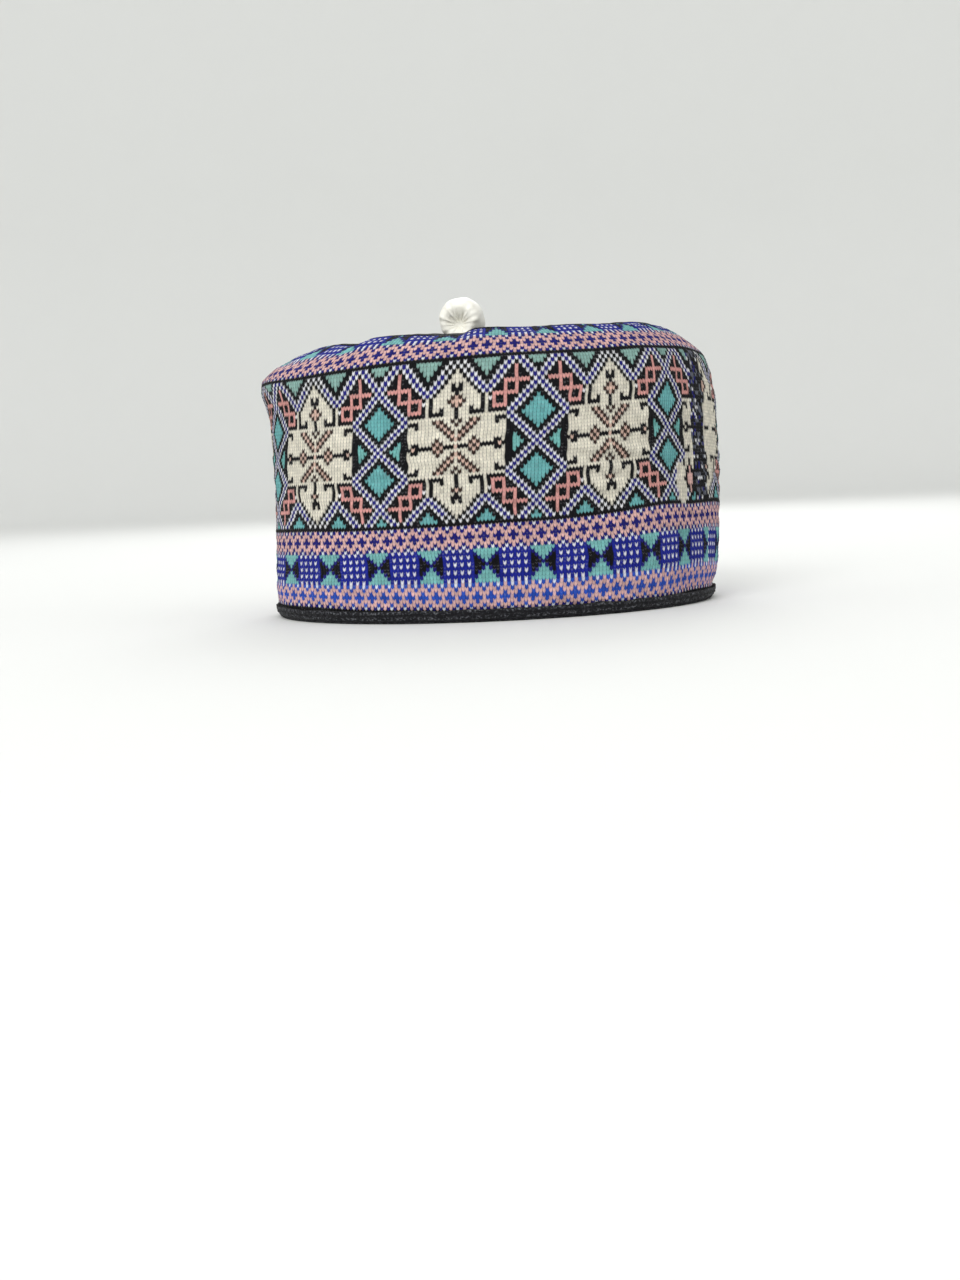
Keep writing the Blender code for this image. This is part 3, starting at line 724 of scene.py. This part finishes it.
def tapeFinish():
    tape = Finish("rimTape", 0.9, Sheen_Weight=0.04, Sheen_Roughness=0.5, Specular_IOR_Level=0.2)
    place = tape.node("UVMap", {"uv_map": "tape"})
    split = tape.node("SeparateXYZ", {}, {0: place})
    along, across = split, Wire(tape, split.socket.node.outputs[1])
    rib = ((across * tapePlan["ribs"]) * (2 * math.pi)).sine()
    loops = ((along * 1400 + rib * 1.3)).sine()
    coords = tape.node("TexCoord", out=3)
    fibres = tape.noise(coords, 1700.0, 3.0, 0.6)
    clumps = tape.noise(coords, 1000.0, 2.0, 0.6)
    dark, pale = ((*linear(tapePlan[k]), 1) for k in ("colour", "fleck"))
    # pale flecks, more of them towards the rib crests
    fleck = ((clumps - 0.50) * 6).between() * (rib * 0.40 + 0.50).between() * 0.60
    base = tape.mix(fleck, dark, pale)
    # painted shade: darker in the troughs between the ribs, lighter on their crests
    shade = 0.75 + (rib * 0.5 + 0.5) * 0.4
    base = tape.mix(1.0, base, tape.node("CombineXYZ", {}, {0: shade, 1: shade, 2: shade}), "MULTIPLY")
    tape.putSurface(base, rib * 0.3 + loops * 0.22 + fibres * 0.5, 0.00035, 0.9, 0.82 + fibres * 0.14)
    return tape.material


def buildTape():
    # The section's outline carried round the rim's oval; rounded ribs run along the tape
    thick = tapeThickness()
    tall = {**capSizes, "tapeOuterHeight": tapePlan["outerHeight"]}
    outside = np.array([(-across * thick - curl * capSizes["tapeCurl"], up * tall[side])
                        for across, up, side, curl in tapeOutline])
    steps = np.arange(len(outside), dtype=float)
    fine = np.linspace(0, len(outside) - 1, tapePlan["outlinePoints"])
    outline = np.stack([eased(steps, outside[:, k], fine) for k in (0, 1)], axis=-1)
    share = np.linspace(0, 1, len(fine))
    heights = np.array([tall[k] for k in ("tapeInnerHeight", "tapeOuterHeight", "tapeFloor")])
    slot = [(capSizes["tapeWall"] - thick, h) for h in heights]
    slot += [(-capSizes["tapeWall"], h) for h in heights[:0:-1]]
    slot = np.array([(x - capSizes["tapeCurl"] * float(curlShare(y)), y) for x, y in slot])
    # outward way of the section at each outline point
    way = np.gradient(outline, axis=0)
    outward = np.stack([-way[:, 1], way[:, 0]], axis=-1)
    outward /= -np.linalg.norm(outward, axis=1, keepdims=True)
    edgeFade = np.clip(np.minimum(share, 1 - share) / 0.04, 0, 1)
    ribs = tapePlan["ribDepth"] * (np.abs(np.sin(np.pi * share * tapePlan["ribs"] * 2)) - 0.75) * edgeFade
    outline = outline + outward * ribs[:, None]
    outline[:, 1] = np.maximum(outline[:, 1], 0)  # nothing goes below what the rim rests on
    section = np.concatenate([outline, slot])
    angles = np.arange(tapePlan["around"]) * 2 * np.pi / tapePlan["around"]
    turn = angles[:, None] / (2 * np.pi)
    halfLength, halfWidth = rimHalfSizes()
    out = section[None, :, 0] + tapePlan["waviness"] * softNoise(23, turn, section[None, :, 1] * 60, 12, 9, 60) * 0.5
    upper = np.clip(section[None, :, 1] / capSizes["tapeOuterHeight"], 0, 1)
    up = section[None, :, 1] + tapePlan["waviness"] * upper * softNoise(29, turn, 0, 12, 11, 70)
    points = np.stack([(halfLength + out) * np.cos(angles)[:, None], (halfWidth + out) * np.sin(angles)[:, None], up],
                      axis=-1)
    across = points.shape[1]
    faces = gridFaces(tapePlan["around"], across, closeAcross=True)[:, ::-1]
    piece = putMesh("rim_tape", points.reshape(-1, 3), faces, None, tapeFinish())
    i, j = np.divmod(np.arange(len(faces)), across)
    uStep, vStep = np.array([0, 1, 1, 0])[::-1], np.array([0, 0, 1, 1])[::-1]
    u = (i[:, None] + uStep) / tapePlan["around"] * 0.6
    v = (j[:, None] + vStep) / (len(fine) - 1)
    putUv(piece, "tape", np.stack([u, v], axis=-1))
    folds = 8
    strip = tapePlan["around"] // folds
    bakeU = (i[:, None] - (i // strip * strip)[:, None] + uStep) / strip
    bakeV = ((i // strip)[:, None] + 0.02 + 0.96 * (j[:, None] + vStep) / across) / folds
    putUv(piece, "OFBake", np.stack([0.002 + 0.996 * bakeU, bakeV], axis=-1))
    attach(piece, "root")
    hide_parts("rim_binding")
    print(f"Cap: rim_tape, {len(faces) * 2} triangles")


buildTape()


# The crown panel: lengths in metres, reaches as shares of the way in from the seam
crownPlan = {
    "around": 432, "rings": 46, "gathers": 61, "gatherDepth": 0.00028, "wrinkle": 0.00045,
    "rollShare": 0.24, "roll": 0.0003, "dentEnd": 0.20, "stitch": 0.0016,
    "pressDepth": 0.0016, "pressReach": 0.013, "lastRing": 0.985,
    "colour": (20, 20, 24), "fleck": (84, 86, 94),
}


def crownGrid(angles, inward):
    # From the seam along straight lines to the middle, with a roll just inside the seam and a sag
    cloth = np.ones_like(angles)
    edge = bandOuter(angles, cloth)
    below = bandOuter(angles, cloth - 0.01)
    seamWay = (edge - below) / np.linalg.norm(edge - below, axis=-1, keepdims=True)
    edge = edge + seamWay * capSizes["seamGap"]
    middle = np.array([0, 0, edge[:, 2].mean()])
    upper = edge[:, None] + (middle - edge)[:, None] * inward[None, :, None]
    roll = crownPlan["roll"] * np.sin(np.pi * np.clip(inward / crownPlan["rollShare"], 0, 1)) ** 2
    sag = capSizes["crownSag"] * (1 - (1 - inward) ** 2)
    level = (1 - inward) * (1 - np.exp(-inward / crownPlan["dentEnd"]))
    upper[..., 2] += roll - sag + dentAt(angles)[:, None] * level
    return upper


def crownMiddleHeight():
    angles = np.arange(72) * 2 * np.pi / 72
    return float(crownGrid(angles, np.array([crownPlan["lastRing"]]))[..., 2].mean())


def crownFinish():
    knit = Finish("crownKnit", 0.9, Sheen_Weight=0.05, Sheen_Roughness=0.5, Specular_IOR_Level=0.2)
    coords = knit.node("TexCoord", out=3)
    split = knit.node("SeparateXYZ", {}, {0: coords})
    x, y = split, Wire(knit, split.socket.node.outputs[1])
    u, v = x / crownPlan["stitch"], y / crownPlan["stitch"]
    leg = abs((u * 2).part() - 0.5) * 2
    slant = abs(u.part() - 0.5)
    rowEdge = abs((v - slant * 1.1).part() - 0.5) * 2
    back = (1 - leg * leg).maths("SQRT") * (1 - rowEdge ** 5 * 0.7)
    fibres = knit.noise(coords, 1900.0, 3.0, 0.6)
    clumps = knit.noise(coords, 380.0, 2.0, 0.6)
    dark, pale = ((*linear(crownPlan[k]), 1) for k in ("colour", "fleck"))
    base = knit.mix(((clumps - 0.55) * 4).between() * 0.5, dark, pale)
    # painted shade: darker at the edges of the stitch legs and at the row edges
    shade = 0.72 + back * 0.35
    base = knit.mix(1.0, base, knit.node("CombineXYZ", {}, {0: shade, 1: shade, 2: shade}), "MULTIPLY")
    knit.putSurface(base, back * 0.8 + fibres * 0.4, 0.0004, 0.9, 0.82 + fibres * 0.14)
    return knit.material


def buildCrown():
    # An upper and an under face that meet at the seam; small gathers fade from the seam inwards
    around = crownPlan["around"]
    angles = np.arange(around) * 2 * np.pi / around
    inward = np.concatenate([[0], np.linspace(0.06, 1, crownPlan["rings"] - 1) ** 1.35]) * crownPlan["lastRing"]
    upper = crownGrid(angles, inward)
    lying = stubCentre(np.array([0.85]))[0]

    def pressed(grid):
        # the cloth dips in a bell under the lying stub
        away = np.hypot(grid[..., 0] - lying[0], grid[..., 1] - lying[1]) / crownPlan["pressReach"]
        return crownPlan["pressDepth"] * np.exp(-(away ** 2))

    turn = (angles / (2 * np.pi))[:, None]
    gather = np.cos(crownPlan["gathers"] * angles + 2.0 * np.sin(5 * angles))[:, None]
    fade = np.clip(inward / 0.02, 0, 1) * np.exp(-inward / 0.10)
    waves = softNoise(31, turn, inward[None, :] * 1.5, 12, 2, 9) * np.clip(inward / 0.15, 0, 1) * (1 - inward) ** 0.5
    upper[..., 2] -= pressed(upper)
    upper[..., 2] += crownPlan["gatherDepth"] * gather * fade + crownPlan["wrinkle"] * waves
    coarse = inward[::3]
    under = crownGrid(angles, coarse)
    under[..., 2] -= capSizes["crownWall"] * np.clip(coarse / 0.05, 0.35, 1) + pressed(under)
    rings = np.concatenate([upper[:, ::-1], under], axis=1)
    across = rings.shape[1]
    points = np.concatenate([rings.reshape(-1, 3), rings[:, 0].mean(0)[None], rings[:, -1].mean(0)[None]])
    faces = gridFaces(around, across)[:, ::-1]
    here, onward = np.arange(around), (np.arange(around) + 1) % around
    top, bottom = around * across, around * across + 1
    fans = np.concatenate([
        np.stack([np.full(around, top), here * across, onward * across], axis=-1),
        np.stack([np.full(around, bottom), onward * across + across - 1, here * across + across - 1], axis=-1)])
    piece = putMesh("crown_panel", points, faces, fans, crownFinish())
    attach(piece, "root")
    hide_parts("crown")
    print(f"Cap: crown_panel, {len(faces) * 2 + len(fans)} triangles")


# The stuffed satin stub: shares of its radius or lengths in metres
stubPlan = {
    "sides": 128, "rings": 96, "leanDegrees": -108, "clearOfCrown": 0.90, "dimpleDrop": 0.0018,
    "pleatCounts": (8, 11, 13, 17), "gatherDepth": 0.00070, "creases": 0.00022,
    # the shade colour is painted shade, laid into the satin's folds
    "colour": (250, 249, 241), "shade": (226, 220, 202),
}
# The stub's line: share of the way, reach, lift, and how far it lies
stubLine = np.array([
    (0.00, 0.00, 0.00, 0.0), (0.26, 0.06, 0.24, 0.0), (0.62, 0.36, 0.05, 1.0), (1.00, 0.84, 0.00, 1.0)])
# The stub's rings: share of the line, radius, dimple
stubRings = np.array([
    (0.000, 0.674, 0.0), (0.050, 0.74, 0.0), (0.160, 0.78, 0.0), (0.300, 0.86, 0.0), (0.450, 0.94, 0.0),
    (0.600, 0.99, 0.0), (0.750, 1.01, 0.0), (0.860, 1.00, 0.0), (0.940, 0.93, 0.0), (0.985, 0.81, 0.0),
    (1.000, 0.66, 0.0), (1.000, 0.52, 0.12), (1.000, 0.39, 0.36), (1.000, 0.27, 0.70), (1.000, 0.16, 1.00)])


def stubCentre(shares):
    # Up from the crown, then over to the side and down onto it
    knots = stubLine[:, 0]
    height = (crownMiddleHeight() + capSizes["seamGap"] + stubLine[:, 2] * capSizes["stubLength"]
              + stubLine[:, 3] * capSizes["stubRadius"] * stubPlan["clearOfCrown"])
    out = eased(knots, stubLine[:, 1] * capSizes["stubLength"], shares)
    lean = math.radians(stubPlan["leanDegrees"])
    return np.stack([-capSizes["stubSetback"] + out * math.cos(lean), out * math.sin(lean),
                     eased(knots, height, shares)], axis=-1)


def satinFinish():
    satin = Finish("stubSatin", 0.42, Sheen_Weight=0.35, Sheen_Roughness=0.35, Specular_IOR_Level=0.45)
    coords = satin.node("TexCoord", out=3)
    folds = satin.noise(coords, 260.0, 3.0)
    drawn = satin.node("Mapping", {}, {"Vector": coords, "Scale": (1.0, 0.25, 1.0)})
    weave = satin.noise(drawn, 5200.0, 1.0)
    light, dark = ((*linear(stubPlan[k]), 1) for k in ("colour", "shade"))
    # painted shade: the satin darkens to its shade colour where the fold noise is high, the same noise that raises the
    # bump
    satin.putSurface(satin.mix((folds * 0.7 - 0.1).between(), light, dark), folds * 0.6 + weave * 0.25, 0.00025, 0.7,
               0.34 + weave * 0.22)
    return satin.material


def buildStub():
    # Rings carried along the stub's line; pleats deepen towards the gathered end's dimple
    table = np.arange(len(stubRings), dtype=float)
    fine = np.linspace(0, len(stubRings) - 1, stubPlan["rings"])
    along, radius, dimple = (eased(table, stubRings[:, k], fine) for k in range(3))
    along = np.clip(along, 0, 1)
    radius, dimple = radius * capSizes["stubRadius"], dimple * capSizes["stubDimple"]
    centres = stubCentre(along)
    ways = stubCentre(np.minimum(along + 0.02, 1)) - stubCentre(np.maximum(along - 0.02, 0))
    ways /= np.linalg.norm(ways, axis=1, keepdims=True)
    ways[0] = (0, 0, 1)
    across = np.cross(ways, (1.0, 0.0, 0.0))
    across /= np.linalg.norm(across, axis=1, keepdims=True)
    beside = np.cross(ways, across)
    angles = np.arange(stubPlan["sides"]) * 2 * np.pi / stubPlan["sides"]
    nearEnd = np.clip((fine - 7.5) / 3, 0, 1) * np.clip((14.2 - fine) / 2, 0.25, 1)
    draw = np.random.default_rng(3)
    pleats = sum(draw.uniform(0.5, 1) * np.cos(k * angles + draw.uniform(0, 6.3)) for k in stubPlan["pleatCounts"]) / 2
    body = sum(np.cos(k * angles[None, :] + s * fine[:, None] + draw.uniform(0, 6.3))
               for k, s in ((3, 0.5), (5, -0.7), (7, 0.9), (2, 1.3))) / 2
    bump = (stubPlan["gatherDepth"] * nearEnd[:, None] * pleats[None, :] + stubPlan["creases"] * body
            * np.clip(fine / 2, 0, 1)[:, None])
    isFace = np.clip((fine - 9) / 3, 0, 1)[:, None]
    reach = radius[:, None] * (1 + 0.03 * nearEnd[:, None] * pleats[None, :]) + bump * (1 - isFace)
    # the dimple sits below the middle of the gathered end
    inwards = np.clip((fine - 9) / 5, 0, 1)[:, None]
    centres = centres - np.array([0, 0, stubPlan["dimpleDrop"]]) * inwards
    rings = ((centres - ways * dimple[:, None])[:, None] + (bump * isFace)[..., None] * ways[:, None]
             + (reach * np.cos(angles))[..., None] * across[:, None]
             + (reach * np.sin(angles))[..., None] * beside[:, None])
    rings = rings.transpose(1, 0, 2)
    count = rings.shape[1]
    points = np.concatenate([rings.reshape(-1, 3), centres[:1], rings[:, -1].mean(0)[None]])
    sides = stubPlan["sides"]
    faces = gridFaces(sides, count)
    here, onward = np.arange(sides), (np.arange(sides) + 1) % sides
    fans = np.concatenate([
        np.stack([np.full(sides, sides * count), onward * count, here * count], axis=-1),
        np.stack([np.full(sides, sides * count + 1), here * count + count - 1, onward * count + count - 1], axis=-1)])
    piece = putMesh("satin_stub", points, faces, fans, satinFinish())
    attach(piece, "root")
    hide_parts("stub")
    print(f"Cap: satin_stub, {len(faces) * 2 + len(fans)} triangles")


buildStub()
buildCrown()


print("Cap: finished")
